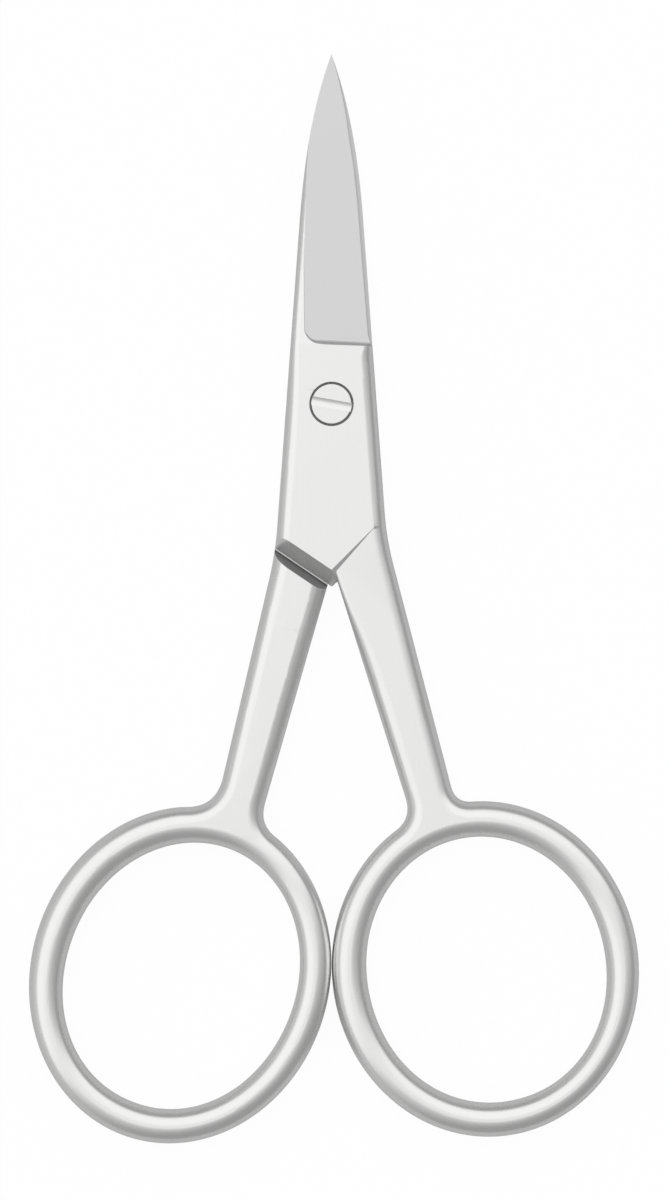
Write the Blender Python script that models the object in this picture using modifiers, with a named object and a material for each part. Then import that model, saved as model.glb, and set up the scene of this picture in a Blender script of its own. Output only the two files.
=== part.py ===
"""Small straight grooming scissors with finger rings, lying flat and closed.

Three pieces: a front half, a rear half and the slotted screw that they turn on.
Both halves are one design. Each is drawn in its own frame, where +X is the side
of its own finger ring, +Y runs to the tip and +Z points away from the other
half. The rear half is that same drawing turned half a turn about the long axis.

World frame: +Y to the tips, +Z up, the origin on the pivot's axis at the flat
underside of the rear half. Lengths are in metres.
"""

import math

import bmesh
import bpy
from mathutils import Matrix, Vector

MM = 0.001

# Pivot plates
PLATE_THICKNESS = 1.70 * MM
FACE_GAP = 0.10 * MM
PLATE_ROUND = 0.60 * MM
PLATE_ROUND_STOP = 2.50 * MM
PLATE_END = 13.68 * MM
PLATE_END_ANGLE = math.radians(34.0)
PLATE_END_RUN = 1.10 * MM
CREASE_ANGLE = math.radians(45.0)
CREASE_SLOPE = math.radians(60.0)
CREASE_DEPTH = 0.20 * MM
CREASE_FOOT_SLOPE = math.radians(24.0)
SHOULDER_GAP = 0.12 * MM
SHOULDER_RUN = 0.70 * MM

# Blades
BLADE_LENGTH = 28.96 * MM
POINT_LENGTH = 13.96 * MM
POINT_HALF_WIDTH = 2.64 * MM
POINT_HALF_ANGLE = math.radians(20.0)
POINT_FULLNESS = 0.34
SIDE_FLARE = math.radians(4.2)
SPINE_OVERHANG = 0.38 * MM
GROUND_LENGTH = 24.05 * MM
GROUND_INSET = 2.25 * MM
GROUND_CORNER = 1.30 * MM
GROUND_RADIUS = 0.35 * MM
GROUND_SKEW = math.radians(2.6)
SPINE_THICKNESS = 1.66 * MM
EDGE_THICKNESS = 0.50 * MM
TIP_THICKNESS = 0.35 * MM

# Shanks
SHANK_THICKNESS = 3.10 * MM
SHANK_ROUND = 1.22 * MM
SHANK_ROOT_DROP = 8.00 * MM
SHANK_ROOT_WIDTH = 5.14 * MM
SHANK_NECK_WIDTH = 3.80 * MM
SIDE_BEND = 2.20 * MM
INNER_FILLET = 1.85 * MM

# Finger rings
RING_SIDE_BAND = 2.80 * MM
RING_END_BAND = 2.85 * MM
RING_LIFT = 0.05 * MM
RING_UPRIGHT = math.radians(4.5)
HOLE_FULLNESS = 0.97
RING_GAP = 0.10 * MM

# Each half's own ring: the hole's half length and half width, its lean towards
# the other ring, the drop of its centre below the pivot, how far it lies inside
# the middle of the ring's outer side, the place of the neck on the ring, and the
# fillet where the shank's outer side meets the ring. The outer side stands more
# upright than the hole and a little higher, so the band is thickest at the neck.
FRONT_RING = {
    "root_side": 1.09 * MM,
    "half_length": 11.03 * MM,
    "half_width": 9.88 * MM,
    "lean": math.radians(11.3),
    "drop": 46.72 * MM,
    "inset": -0.09 * MM,
    "neck": math.radians(-12.3),
    "outer_fillet": 1.50 * MM,
}
REAR_RING = {
    "root_side": 1.01 * MM,
    "half_length": 11.20 * MM,
    "half_width": 9.54 * MM,
    "lean": math.radians(21.5),
    "drop": 47.22 * MM,
    "inset": 0.12 * MM,
    "neck": math.radians(-3.2),
    "outer_fillet": 2.70 * MM,
}

# Pivot screw
HEAD_RADIUS = 1.67 * MM
HEAD_HEIGHT = 0.80 * MM
HEAD_INSET = 0.03 * MM
HEAD_CLEARANCE = 0.12 * MM
SEAT_CLEARANCE = 0.06 * MM
BEARING_RADIUS = 1.20 * MM
BEARING_CLEARANCE = 0.05 * MM
THREAD_RADIUS = 1.08 * MM
THREAD_HEIGHT = 0.14 * MM
THREAD_SUNK = 0.04 * MM
THREAD_PITCH = 0.50 * MM
THREAD_CLEARANCE = 0.04 * MM
THREAD_RUNOUT = 0.25 * MM
SCREW_CHAMFER = 0.08 * MM
SLOT_WIDTH = 0.72 * MM
SLOT_DEPTH = 0.30 * MM
SLOT_TURN = math.radians(-10.0)

# Fineness of the round stretches
RING_STEPS = 84
HOLE_STEPS = 76
FILLET_STEPS = 7
POINT_STEPS = 14
SECTION_STEPS = 5
ROUND_STEPS = 48
THREAD_STEPS = 24

# What a cutter reaches past the solid that it cuts, and what a solid keeps
# behind a face that is cut later
CUT = 5.0 * MM
SPARE = 0.20 * MM

# Places closer together than the first length become one, and a place this
# close to a cutting plane counts as on it
WELD = 0.002 * MM
ON_PLANE = 0.0001 * MM

# An edge that turns by more than this is shown sharp
SHARP_ANGLE = math.radians(30.0)

# How far round the ring from its neck a side of the shank can meet it, and how
# often the search for that place halves its stretch
NECK_REACH = math.radians(60.0)
HALVINGS = 40

# Heights in a half's own frame, whose origin is midway between the inner faces
INNER_FACE = FACE_GAP / 2
PLATE_TOP = INNER_FACE + PLATE_THICKNESS

# The screw's radius between the turns of its thread
THREAD_CORE = THREAD_RADIUS - THREAD_HEIGHT


def clear_scene():
    for item in list(bpy.data.objects):
        bpy.data.objects.remove(item, do_unlink=True)


def new_collection(name):
    collection = bpy.data.collections.new(name)
    bpy.context.scene.collection.children.link(collection)
    return collection


def steel(name, colour, roughness):
    material = bpy.data.materials.new(name)
    material.use_nodes = True
    shader = material.node_tree.nodes["Principled BSDF"]
    shader.inputs["Base Color"].default_value = colour
    shader.inputs["Metallic"].default_value = 1.0
    shader.inputs["Roughness"].default_value = roughness
    return material


def blend(start, corner, end, steps):
    """Points of a smooth bend from start to end that is drawn towards a corner."""
    points = []
    for step in range(steps + 1):
        t = step / steps
        points.append(start * (1 - t) ** 2 + corner * 2 * t * (1 - t) + end * t ** 2)
    return points


def crossing(point, direction, other, other_direction):
    """The place where two straight lines in the drawing plane cross."""
    across = direction.cross(other_direction)
    along = (other - point).cross(other_direction) / across
    return point + direction * along


def side_half_width(height):
    """Half the width of plate and blade at a height, along their straight side."""
    return POINT_HALF_WIDTH + (BLADE_LENGTH - POINT_LENGTH - height) * math.tan(SIDE_FLARE)


def point_curve():
    """Half the blade's point as a smooth curve: half widths by height, to the tip."""
    start_height = BLADE_LENGTH - POINT_LENGTH
    reach = POINT_FULLNESS * POINT_LENGTH
    start = Vector((POINT_HALF_WIDTH, start_height))
    end = Vector((0.0, BLADE_LENGTH))
    start_pull = start + reach * Vector((-math.sin(SIDE_FLARE), math.cos(SIDE_FLARE)))
    end_pull = end + reach * Vector((math.sin(POINT_HALF_ANGLE), -math.cos(POINT_HALF_ANGLE)))
    points = []
    for step in range(POINT_STEPS + 1):
        t = step / POINT_STEPS
        point = start * (1 - t) ** 3 + end * t ** 3
        point += start_pull * 3 * t * (1 - t) ** 2 + end_pull * 3 * t ** 2 * (1 - t)
        points.append(point)
    return points


def flat_solid(name, outlines, half_depth, rounding=0.0):
    """A solid from flat outlines, with its edges rounded on both faces."""
    curve = bpy.data.curves.new(name, "CURVE")
    curve.dimensions = "2D"
    curve.fill_mode = "BOTH"
    curve.extrude = half_depth - rounding
    curve.bevel_depth = rounding
    curve.bevel_resolution = SECTION_STEPS - 1
    curve.offset = -rounding
    for outline in outlines:
        spline = curve.splines.new("POLY")
        spline.points.add(len(outline) - 1)
        for point, place in zip(spline.points, outline):
            point.co = (place.x, place.y, 0.0, 1.0)
        spline.use_cyclic_u = True
    return solid_from_curve(name, curve)


def solid_from_curve(name, curve):
    """The curve's mesh, with its caps welded on."""
    source = bpy.data.objects.new(name, curve)
    bpy.context.scene.collection.objects.link(source)
    bpy.context.view_layer.update()
    evaluated = source.evaluated_get(bpy.context.evaluated_depsgraph_get())
    mesh = bpy.data.meshes.new_from_object(evaluated)
    bpy.data.objects.remove(source, do_unlink=True)
    mesh.name = name
    work = bmesh.new()
    work.from_mesh(mesh)
    bmesh.ops.remove_doubles(work, verts=work.verts, dist=WELD)
    bmesh.ops.recalc_face_normals(work, faces=work.faces)
    work.to_mesh(mesh)
    work.free()
    return mesh


def smooth(mesh):
    mesh.shade_smooth()
    mesh.set_sharp_from_angle(angle=SHARP_ANGLE)


class Ring:
    """The ellipses of one finger ring: its hole and its outer side."""

    def __init__(self, values):
        self.values = values
        lean = values["lean"] - RING_UPRIGHT
        self.length_way = Vector((-math.sin(lean), math.cos(lean)))
        self.width_way = Vector((math.cos(lean), math.sin(lean)))
        self.outer_length = values["half_length"] + RING_END_BAND
        self.outer_width = values["half_width"] + RING_SIDE_BAND
        reach = math.hypot(self.outer_length * math.sin(lean), self.outer_width * math.cos(lean))
        self.outer_centre = Vector((reach + RING_GAP / 2, RING_LIFT - values["drop"]))
        self.hole_centre = self.outer_centre - Vector((values["inset"], RING_LIFT))

    def outer(self, angle):
        place = self.length_way * self.outer_length * math.cos(angle)
        return self.outer_centre + place + self.width_way * self.outer_width * math.sin(angle)

    def outer_heading(self, angle):
        heading = self.length_way * -self.outer_length * math.sin(angle)
        return heading + self.width_way * self.outer_width * math.cos(angle)

    def hole(self):
        """The hole's outline, an ellipse whose lower half is a little fuller."""
        lean = self.values["lean"]
        length_way = Vector((-math.sin(lean), math.cos(lean))) * self.values["half_length"]
        width_way = Vector((math.cos(lean), math.sin(lean))) * self.values["half_width"]
        points = []
        for step in range(HOLE_STEPS):
            along = math.cos(2 * math.pi * step / HOLE_STEPS)
            across = math.sin(2 * math.pi * step / HOLE_STEPS)
            if along < 0:
                along = -(-along) ** HOLE_FULLNESS
                across = math.copysign(abs(across) ** HOLE_FULLNESS, across)
            points.append(self.hole_centre + length_way * along + width_way * across)
        return points

    def meets(self, point, direction, side):
        """The angle at which the ring's outer side meets a line, near the neck."""
        near = self.values["neck"]
        far = near + side * NECK_REACH
        for _ in range(HALVINGS):
            middle = (near + far) / 2
            offset = (self.outer(middle) - point).cross(direction) * side
            if offset > 0:
                near = middle
            else:
                far = middle
        return near


def handle_outline(ring):
    """The outline of shank and ring: down the outer side, round, and up inside."""
    root = Vector((ring.values["root_side"], -SHANK_ROOT_DROP))
    neck = ring.outer(ring.values["neck"])
    along = (neck - root).normalized()
    across = Vector((-along.y, along.x))
    top_outer = root + across * SHANK_ROOT_WIDTH / 2
    top_inner = root - across * SHANK_ROOT_WIDTH / 2
    outer_way = (neck + across * SHANK_NECK_WIDTH / 2 - top_outer).normalized()
    inner_way = (neck - across * SHANK_NECK_WIDTH / 2 - top_inner).normalized()

    flare = Vector((-math.sin(SIDE_FLARE), math.cos(SIDE_FLARE)))
    plate_side = Vector((side_half_width(0.0), 0.0))
    bend = crossing(plate_side, flare, top_outer, outer_way)
    points = [Vector((root.x, bend.y + 2 * SIDE_BEND))]
    points += blend(bend + flare * SIDE_BEND, bend, bend + outer_way * SIDE_BEND, FILLET_STEPS)

    outer_angle = ring.meets(top_outer, outer_way, 1)
    fillet = ring.values["outer_fillet"]
    corner = ring.outer(outer_angle)
    start_angle = outer_angle + fillet / ring.outer_heading(outer_angle).length
    points += blend(corner - outer_way * fillet, corner, ring.outer(start_angle), FILLET_STEPS)

    inner_angle = ring.meets(top_inner, inner_way, -1)
    end_angle = 2 * math.pi + inner_angle
    end_angle -= INNER_FILLET / ring.outer_heading(inner_angle).length
    for step in range(1, RING_STEPS):
        points.append(ring.outer(start_angle + (end_angle - start_angle) * step / RING_STEPS))

    corner = ring.outer(inner_angle)
    points += blend(ring.outer(end_angle), corner, corner - inner_way * INNER_FILLET, FILLET_STEPS)
    points.append(top_inner)
    return points


def cutter(name, mesh, parent, place=Matrix.Identity(4)):
    item = bpy.data.objects.new(name, mesh)
    item.parent = parent
    item.matrix_local = place
    item.hide_render = True
    item.display_type = "WIRE"
    bpy.data.collections["cutters"].objects.link(item)
    return item


def boolean(item, operation, other):
    step = item.modifiers.new(other.name, "BOOLEAN")
    step.operation = operation
    step.solver = "EXACT"
    step.object = other


def plate_outline():
    """The outline of blade and plate: up the spine, over the tip, down the edge.

    The cutting edge stands back from the other half's spine by the overhang, which
    fades out over the upper half of the point.
    """
    bottom = -(PLATE_END + CUT)
    curve = point_curve()
    points = [Vector((-side_half_width(bottom), bottom))]
    points += [Vector((-point.x, point.y)) for point in curve]
    for point in reversed(curve[:-1]):
        overhang = SPINE_OVERHANG * min(1.0, 2 * (BLADE_LENGTH - point.y) / POINT_LENGTH)
        points.append(Vector((max(point.x - overhang, point.x / 2), point.y)))
    shoulder = BLADE_LENGTH - GROUND_LENGTH
    points.append(Vector((side_half_width(shoulder) - SPINE_OVERHANG, shoulder + 2 * SPINE_OVERHANG)))
    points.append(Vector((side_half_width(shoulder), shoulder - SPINE_OVERHANG)))
    points.append(Vector((side_half_width(bottom), bottom)))
    return points


def is_rounded_side(edge):
    """Whether an edge is one of the two upper side edges that are rounded.

    On the spine's side the rounding runs on until just below the tip, and on the
    other side it stops at the shoulder.
    """
    ends = [vert.co for vert in edge.verts]
    on_top = min(end.z for end in ends) > 0
    between_level_and_upright = edge.calc_face_angle(0.0) > SHARP_ANGLE
    if ends[0].x < 0 and ends[1].x < 0:
        limit = BLADE_LENGTH - PLATE_ROUND_STOP
    elif ends[0].x > 0 and ends[1].x > 0:
        limit = BLADE_LENGTH - GROUND_LENGTH - SPINE_OVERHANG
    else:
        return False
    within = (ends[0].y + ends[1].y) / 2 < limit
    return on_top and between_level_and_upright and within


def plate_mesh(name):
    """Blade and plate, with a tapered blade, rounded sides and a pointed lower end."""
    mesh = flat_solid(name, [plate_outline()], PLATE_TOP)
    shoulder = BLADE_LENGTH - GROUND_LENGTH
    taper = (SPINE_THICKNESS - ground_height(-GROUND_INSET, BLADE_LENGTH)) / GROUND_LENGTH
    work = bmesh.new()
    work.from_mesh(mesh)
    everything = work.verts[:] + work.edges[:] + work.faces[:]
    bmesh.ops.bisect_plane(work, geom=everything, plane_co=(0, shoulder, 0), plane_no=(0, 1, 0))
    for vert in work.verts:
        if vert.co.z > 0 and vert.co.y > shoulder:
            vert.co.z -= taper * (vert.co.y - shoulder)
    rounded = [edge for edge in work.edges if is_rounded_side(edge)]
    bmesh.ops.bevel(work, geom=rounded, offset=PLATE_ROUND, offset_type="OFFSET", affect="EDGES",
                    segments=SECTION_STEPS, profile=0.5, material=-1)
    end = Vector((0, -PLATE_END, PLATE_TOP))
    end_slope = math.atan2(PLATE_END_RUN, PLATE_THICKNESS)
    trim(work, Vector((0, 0, -SPARE)), Vector((0, 0, -1)))
    trim(work, end, outward(-PLATE_END_ANGLE, end_slope))
    trim(work, end, outward(CREASE_ANGLE, CREASE_SLOPE))
    crease_run = CREASE_DEPTH * math.tan(CREASE_SLOPE)
    crease_foot = end + outward(CREASE_ANGLE, 0.0) * crease_run - Vector((0, 0, CREASE_DEPTH))
    trim(work, crease_foot, outward(CREASE_ANGLE, CREASE_FOOT_SLOPE))
    work.to_mesh(mesh)
    work.free()
    smooth(mesh)
    return mesh


def outward(turn, slope):
    """The normal of a lower end face that is turned from straight down and sloped."""
    level = Vector((math.sin(turn), -math.cos(turn), 0))
    return level * math.cos(slope) + Vector((0, 0, math.sin(slope)))


def trim(work, place, normal):
    """Cuts away what lies past a plane and closes the cut."""
    everything = work.verts[:] + work.edges[:] + work.faces[:]
    bmesh.ops.bisect_plane(work, geom=everything, dist=ON_PLANE, plane_co=place,
                           plane_no=normal, clear_outer=True)
    open_edges = [edge for edge in work.edges if edge.is_boundary]
    bmesh.ops.holes_fill(work, edges=open_edges)


def ground_height(side, height):
    """Height of the ground face over the inner face, a plane set by three places."""
    start = BLADE_LENGTH - GROUND_LENGTH
    edge_side = side_half_width(start) - SPINE_OVERHANG
    across = (EDGE_THICKNESS - SPINE_THICKNESS) / (edge_side + GROUND_INSET)
    at_start = SPINE_THICKNESS + across * GROUND_INSET
    along = (TIP_THICKNESS - at_start) / GROUND_LENGTH
    return at_start + across * side + along * (height - start)


def ground_cutter(name, parent):
    """The cut of the blade's ground face, with its rounded run-out at the plate."""
    start = BLADE_LENGTH - GROUND_LENGTH
    corner = Vector((GROUND_CORNER, GROUND_CORNER))
    width = 2 * POINT_HALF_WIDTH + CUT
    length = GROUND_LENGTH + CUT
    outline = [Vector((0, length))]
    for step in range(FILLET_STEPS + 1):
        angle = math.pi + (math.pi / 2 - GROUND_SKEW) * step / FILLET_STEPS
        outline.append(corner + GROUND_CORNER * Vector((math.cos(angle), math.sin(angle))))
    outline.append(Vector((width, -(width - GROUND_CORNER) * math.tan(GROUND_SKEW))))
    outline.append(Vector((width, length)))
    depth = PLATE_THICKNESS + CUT
    mesh = flat_solid(name, [outline], depth, GROUND_RADIUS)
    place = Vector((-GROUND_INSET, start, INNER_FACE + ground_height(-GROUND_INSET, start)))
    side_way = Vector((1, 0, ground_height(1, 0) - ground_height(0, 0))).normalized()
    up_way = Vector((0, 1, ground_height(0, 1) - ground_height(0, 0))).normalized()
    normal = side_way.cross(up_way).normalized()
    up_way = normal.cross(side_way)
    turn = Matrix((side_way, up_way, normal)).transposed().to_4x4()
    matrix = Matrix.Translation(place) @ turn @ Matrix.Translation((0, 0, depth))
    return cutter(name, mesh, parent, matrix)


def lap_cutter(name, parent):
    """Everything behind the inner face, down to the sloped shoulder of the shank."""
    size = 2 * BLADE_LENGTH + 2 * PLATE_END
    depth = PLATE_THICKNESS + SHANK_THICKNESS
    mesh = bpy.data.meshes.new(name)
    work = bmesh.new()
    bmesh.ops.create_cube(work, size=1.0)
    bmesh.ops.translate(work, verts=work.verts, vec=(0, 0.5, -0.5))
    bmesh.ops.scale(work, verts=work.verts, vec=(size, size, depth))
    slope = SHOULDER_RUN / (SHANK_THICKNESS / 2 + INNER_FACE)
    lowest = [vert for vert in work.verts if vert.co.y < size / 2 and vert.co.z < -depth / 2]
    bmesh.ops.translate(work, verts=lowest, vec=(0, -slope * depth, 0))
    work.to_mesh(mesh)
    work.free()
    shoulder = PLATE_END + (PLATE_END_RUN + SHOULDER_GAP) / math.cos(PLATE_END_ANGLE)
    place = Matrix.Translation((0, -shoulder, INNER_FACE))
    place @= Matrix.Rotation(PLATE_END_ANGLE, 4, "Z")
    return cutter(name, mesh, parent, place)


def hole_cutter(name, parent, radius, bottom, top):
    mesh = bpy.data.meshes.new(name)
    work = bmesh.new()
    bmesh.ops.create_cone(work, cap_ends=True, segments=ROUND_STEPS, radius1=radius,
                          radius2=radius, depth=top - bottom)
    bmesh.ops.translate(work, verts=work.verts, vec=(0, 0, (top + bottom) / 2))
    work.to_mesh(mesh)
    work.free()
    return cutter(name, mesh, parent)


def make_half(name, ring_values, parts, material, turn):
    """One half of the scissors, with everything but its holes at the pivot."""
    frame = bpy.data.objects.new(name + "_frame", None)
    frame.location = (0, 0, PLATE_TOP)
    frame.rotation_euler = (0, turn, 0)
    parts.objects.link(frame)
    bpy.context.view_layer.update()

    ring = Ring(ring_values)
    mesh = flat_solid(name, [handle_outline(ring), ring.hole()], SHANK_THICKNESS / 2, SHANK_ROUND)
    smooth(mesh)
    half = bpy.data.objects.new(name, mesh)
    half.parent = frame
    parts.objects.link(half)
    half.data.materials.append(material)

    plate = cutter(name + "_plate", plate_mesh(name + "_plate"), frame)
    plate.data.materials.append(material)
    boolean(half, "UNION", plate)
    boolean(half, "DIFFERENCE", lap_cutter(name + "_lap", frame))
    boolean(half, "DIFFERENCE", ground_cutter(name + "_ground", frame))
    return half, frame


def drill_front(half, frame):
    """The bearing hole and the seat of the screw's head."""
    bore = BEARING_RADIUS + BEARING_CLEARANCE
    boolean(half, "DIFFERENCE", hole_cutter("front_bore", frame, bore, -CUT, CUT))
    seat_floor = PLATE_TOP - HEAD_INSET - HEAD_HEIGHT - SEAT_CLEARANCE
    seat_radius = HEAD_RADIUS + HEAD_CLEARANCE
    boolean(half, "DIFFERENCE", hole_cutter("front_seat", frame, seat_radius, seat_floor, CUT))


def thread_ridge(name, bottom, top, growth=0.0):
    """The thread's ridge: a tube with four sides, wound round the pivot's axis."""
    reach = THREAD_HEIGHT + THREAD_SUNK
    curve = bpy.data.curves.new(name, "CURVE")
    curve.dimensions = "3D"
    curve.twist_mode = "Z_UP"
    curve.bevel_depth = reach + growth
    curve.bevel_resolution = 0
    curve.use_fill_caps = True
    steps = round((top - bottom) / THREAD_PITCH * THREAD_STEPS)
    spline = curve.splines.new("POLY")
    spline.points.add(steps)
    for step, point in enumerate(spline.points):
        height = bottom + (top - bottom) * step / steps
        angle = 2 * math.pi * height / THREAD_PITCH
        side_way = Vector((math.cos(angle), math.sin(angle), 0.0))
        point.co = (side_way * (THREAD_RADIUS - reach) + Vector((0, 0, height))).to_4d()
    return solid_from_curve(name, curve)


def drill_rear(half):
    """The tapped hole that the screw's threaded end sits in."""
    radius = THREAD_CORE + THREAD_CLEARANCE
    boolean(half, "DIFFERENCE", hole_cutter("rear_hole", None, radius, -CUT, CUT))
    ridge = thread_ridge("rear_thread", -THREAD_PITCH, PLATE_TOP + THREAD_PITCH, THREAD_CLEARANCE)
    boolean(half, "DIFFERENCE", cutter("rear_thread", ridge, None))


def make_screw(parts, material):
    """The pivot screw: a slotted head, a plain bearing and a threaded end."""
    top = 2 * PLATE_TOP - HEAD_INSET
    head_bottom = top - HEAD_HEIGHT
    bearing_bottom = PLATE_TOP
    profile = [
        (0.0, top),
        (HEAD_RADIUS - SCREW_CHAMFER, top),
        (HEAD_RADIUS, top - SCREW_CHAMFER),
        (HEAD_RADIUS, head_bottom),
        (BEARING_RADIUS, head_bottom),
        (BEARING_RADIUS, bearing_bottom),
        (THREAD_CORE, bearing_bottom),
        (THREAD_CORE, SCREW_CHAMFER),
        (THREAD_CORE - SCREW_CHAMFER, 0.0),
        (0.0, 0.0),
    ]
    mesh = bpy.data.meshes.new("pivot_screw")
    work = bmesh.new()
    verts = [work.verts.new((radius, 0, height)) for radius, height in profile]
    for first, second in zip(verts, verts[1:]):
        work.edges.new((first, second))
    work.to_mesh(mesh)
    work.free()
    screw = bpy.data.objects.new("pivot_screw", mesh)
    parts.objects.link(screw)
    screw.data.materials.append(material)
    turned = screw.modifiers.new("turned", "SCREW")
    turned.angle = 2 * math.pi
    turned.steps = ROUND_STEPS
    turned.render_steps = ROUND_STEPS
    turned.use_merge_vertices = True
    turned.merge_threshold = WELD
    turned.use_smooth_shade = False

    ridge = thread_ridge("screw_thread", THREAD_RUNOUT, bearing_bottom - THREAD_RUNOUT)
    boolean(screw, "UNION", cutter("screw_thread", ridge, None))

    slot = bpy.data.meshes.new("slot")
    work = bmesh.new()
    bmesh.ops.create_cube(work, size=1.0)
    bmesh.ops.scale(work, verts=work.verts, vec=(4 * HEAD_RADIUS, SLOT_WIDTH, 2 * SLOT_DEPTH))
    work.to_mesh(slot)
    work.free()
    place = Matrix.Translation((0, 0, top)) @ Matrix.Rotation(SLOT_TURN, 4, "Z")
    boolean(screw, "DIFFERENCE", cutter("slot", slot, None, place))
    return screw


def main():
    clear_scene()
    parts = new_collection("grooming_scissors")
    new_collection("cutters")
    front_steel = steel("front_steel", (0.78, 0.78, 0.78, 1.0), 0.36)
    rear_steel = steel("rear_steel", (0.78, 0.78, 0.78, 1.0), 0.36)
    screw_steel = steel("screw_steel", (0.80, 0.80, 0.80, 1.0), 0.30)
    front, front_frame = make_half("front_half", FRONT_RING, parts, front_steel, 0.0)
    drill_front(front, front_frame)
    rear, rear_frame = make_half("rear_half", REAR_RING, parts, rear_steel, math.pi)
    drill_rear(rear)
    make_screw(parts, screw_steel)
    bpy.context.view_layer.update()


main()
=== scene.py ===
"""Looks of the small grooming scissors: two satin steel halves, a slotted screw and a studio.

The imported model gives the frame. Each half is modelled again in fine steps in its own
frame, where +X is the side of its finger ring, +Y runs to the tip and +Z points away
from the other half. The rear half is turned half a turn about the long axis.
"""

import math

import bmesh
import bpy
from mathutils import Matrix, Vector


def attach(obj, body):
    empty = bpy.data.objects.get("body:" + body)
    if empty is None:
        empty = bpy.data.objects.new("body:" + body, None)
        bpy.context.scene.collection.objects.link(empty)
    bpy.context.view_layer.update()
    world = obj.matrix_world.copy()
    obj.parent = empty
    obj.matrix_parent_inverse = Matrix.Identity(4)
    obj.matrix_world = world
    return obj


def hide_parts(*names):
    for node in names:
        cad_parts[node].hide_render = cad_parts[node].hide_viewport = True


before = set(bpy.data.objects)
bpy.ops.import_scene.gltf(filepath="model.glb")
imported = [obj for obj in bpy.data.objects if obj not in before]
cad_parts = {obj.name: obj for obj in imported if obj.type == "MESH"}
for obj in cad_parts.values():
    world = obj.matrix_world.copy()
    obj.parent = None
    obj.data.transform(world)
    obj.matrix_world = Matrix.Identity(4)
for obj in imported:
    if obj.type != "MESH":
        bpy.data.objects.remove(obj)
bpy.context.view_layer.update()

bl_info = {
    "name": "Grooming scissors",
    "version": (1, 0, 0),
    "blender": (4, 5, 0),
    "location": "3D View > Sidebar > Scissors",
    "description": "Models small grooming scissors of satin steel and a studio round them",
    "category": "Object",
}

MM = 0.001

# Pivot plates
PLATE_THICKNESS = 1.70 * MM
FACE_GAP = 0.10 * MM
PLATE_END = 13.68 * MM
PLATE_END_ANGLE = math.radians(34.0)
PLATE_END_RUN = 1.10 * MM
CREASE_ANGLE = math.radians(45.0)
CREASE_SLOPE = math.radians(60.0)
CREASE_DEPTH = 0.20 * MM
CREASE_FOOT_SLOPE = math.radians(24.0)
SHOULDER_GAP = 0.12 * MM
SHOULDER_RUN = 0.70 * MM

# Blades
BLADE_LENGTH = 28.96 * MM
POINT_LENGTH = 13.96 * MM
POINT_HALF_WIDTH = 2.64 * MM
POINT_HALF_ANGLE = math.radians(20.0)
POINT_FULLNESS = 0.34
SIDE_FLARE = math.radians(4.2)
SPINE_OVERHANG = 0.38 * MM
GROUND_LENGTH = 24.05 * MM
GROUND_INSET = 2.25 * MM
GROUND_CORNER = 1.30 * MM
GROUND_SKEW = math.radians(2.6)
SPINE_THICKNESS = 1.66 * MM
EDGE_THICKNESS = 0.50 * MM
TIP_THICKNESS = 0.35 * MM

# Shanks
SHANK_THICKNESS = 3.10 * MM
SHANK_ROOT_DROP = 8.00 * MM
SHANK_ROOT_WIDTH = 5.14 * MM
SHANK_NECK_WIDTH = 3.80 * MM
SIDE_BEND = 2.20 * MM
INNER_FILLET = 1.85 * MM

# Finger rings, with the front one's and the rear one's own values below
RING_SIDE_BAND = 2.80 * MM
RING_END_BAND = 2.85 * MM
RING_LIFT = 0.05 * MM
RING_UPRIGHT = math.radians(4.5)
HOLE_FULLNESS = 0.97
RING_GAP = 0.03 * MM
FRONT_RING = {
    "root_side": 1.09 * MM,
    "half_length": 11.03 * MM,
    "half_width": 9.88 * MM,
    "lean": math.radians(11.3),
    "drop": 46.72 * MM,
    "inset": -0.09 * MM,
    "neck": math.radians(-12.3),
    "outer_fillet": 1.50 * MM,
}
REAR_RING = {
    "root_side": 1.01 * MM,
    "half_length": 11.20 * MM,
    "half_width": 9.54 * MM,
    "lean": math.radians(21.5),
    "drop": 47.22 * MM,
    "inset": 0.12 * MM,
    "neck": math.radians(-3.2),
    "outer_fillet": 2.70 * MM,
}

# Pivot screw
HEAD_RADIUS = 1.67 * MM
HEAD_HEIGHT = 0.80 * MM
HEAD_INSET = 0.03 * MM
HEAD_CLEARANCE = 0.12 * MM
SEAT_CLEARANCE = 0.06 * MM
BEARING_RADIUS = 1.20 * MM
BEARING_CLEARANCE = 0.05 * MM
THREAD_RADIUS = 1.08 * MM
THREAD_CLEARANCE = 0.04 * MM
SLOT_WIDTH = 0.72 * MM
SLOT_DEPTH = 0.30 * MM
SLOT_TURN = math.radians(-10.0)
HEAD_EDGE = 0.09 * MM
SEAT_EDGE = 0.05 * MM
END_CHAMFER = 0.08 * MM

# Where the crease between plate and shank begins and ends, in a half's own frame. Towards its
# end the shank rises by a share of what it lies below the plate's top, and the rise fades out
# below the crease.
CREASE_START = Vector((0.45, -13.53)) * MM
CREASE_END = Vector((3.90, -10.15)) * MM
CREASE_FADE = 12.0 * MM
CREASE_RISE = 0.97

# How far the shank runs on inside the plate, and how far inside the plate's side
TUCK_LENGTH = 6.5 * MM
TUCK = 0.80 * MM

# Places on the shank's sides that carry a rounding, as shares of the way down the outer side
# and up the inner one
OUTER_PLACES = (0.50, 0.80)
INNER_PLACES = (0.25, 0.55)
CROTCH_PLACE = 0.72

# Lengths over which the roundings are eased, and the share of the point over which they narrow
HANDLE_EASE = 2.5 * MM
PLATE_EASE = 1.0 * MM
POINT_EASE = 0.6

# Fineness of outlines, roundings and turned solids
LOOP_STEP = 0.22 * MM
CURVE_STEPS = 24
RING_STEPS = 12 * CURVE_STEPS
ROUND_STEPS = 10
CORNER_STEPS = 5
TURN_STEPS = 96
BREAK_SEGMENTS = 4

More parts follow.
